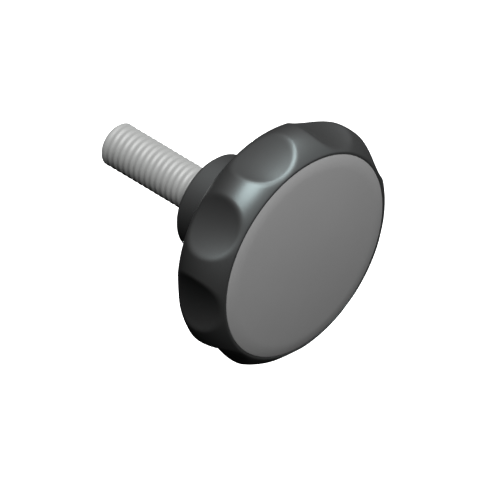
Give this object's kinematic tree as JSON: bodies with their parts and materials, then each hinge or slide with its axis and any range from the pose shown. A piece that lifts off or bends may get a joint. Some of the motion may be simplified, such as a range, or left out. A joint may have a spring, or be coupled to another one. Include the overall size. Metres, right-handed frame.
{
  "type": "scalloped handwheel",
  "caption": "Round clamping handwheel with finger scallops round its rim, a domed cover cap, a boss and a threaded steel stud.",
  "frame": {"origin": "centre of the boss face, where the stud leaves the wheel and which seats on the clamped part", "axes": "+Y along the wheel's axis towards the stud's tip, so the cover cap faces -Y; +Z towards the middle of a lobe, with a scallop straight below; +X to the right when looking at the cap"},
  "size_m": [0.0446, 0.046, 0.0441],
  "materials": {
    "body_plastic": "black glass-filled plastic, satin, with a faint moulded grain",
    "cap_plastic": "mid-grey plastic, matt, fine-grained",
    "zinc_plated_steel": "bright zinc plating on a rolled thread"
  },
  "bodies": {
    "root": {"handwheel_body": "body_plastic", "cover_cap": "cap_plastic", "threaded_stud": "zinc_plated_steel"}
  },
  "joints": []
}
